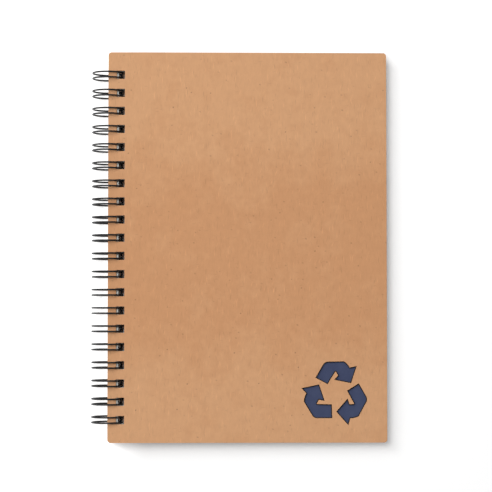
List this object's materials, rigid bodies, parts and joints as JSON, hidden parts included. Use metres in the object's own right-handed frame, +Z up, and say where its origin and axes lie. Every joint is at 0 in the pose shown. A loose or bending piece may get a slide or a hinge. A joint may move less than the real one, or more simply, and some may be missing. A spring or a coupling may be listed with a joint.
{
  "type": "wire-bound notebook",
  "caption": "Upright pocket notebook: kraft board covers and sheets with square holes on a closed twin-loop wire; three arrows cut through the front cover.",
  "frame": {"origin": "on the table, at the middle of the closed book's bounding box", "axes": "+Z up out of the front cover, +Y towards the head of the page, +X from the wire towards the fore edge"},
  "size_m": [0.138, 0.182, 0.015],
  "materials": {
    "kraft_board": "uncoated brown kraft board with short fibres",
    "navy_paper": "matt dark blue paper",
    "sheets": "uncoated off-white writing paper",
    "black_wire": "black nylon-coated steel wire, semi-gloss"
  },
  "bodies": {
    "book": {"page_block": "sheets", "binding_wire": "black_wire"},
    "front_cover": {"front_cover": "kraft_board", "cover_lining": "navy_paper"},
    "back_cover": {"back_cover": "kraft_board"}
  },
  "joints": [
    {"name": "front_cover_hinge", "type": "hinge", "parent": "book", "child": "front_cover", "pos_m": [-0.06149, 0, 0.0075], "axis": [0, -1, 0], "range_deg": [0, 180]},
    {"name": "back_cover_hinge", "type": "hinge", "parent": "book", "child": "back_cover", "pos_m": [-0.06149, 0, 0.0075], "axis": [0, 1, 0], "range_deg": [0, 6]}
  ]
}
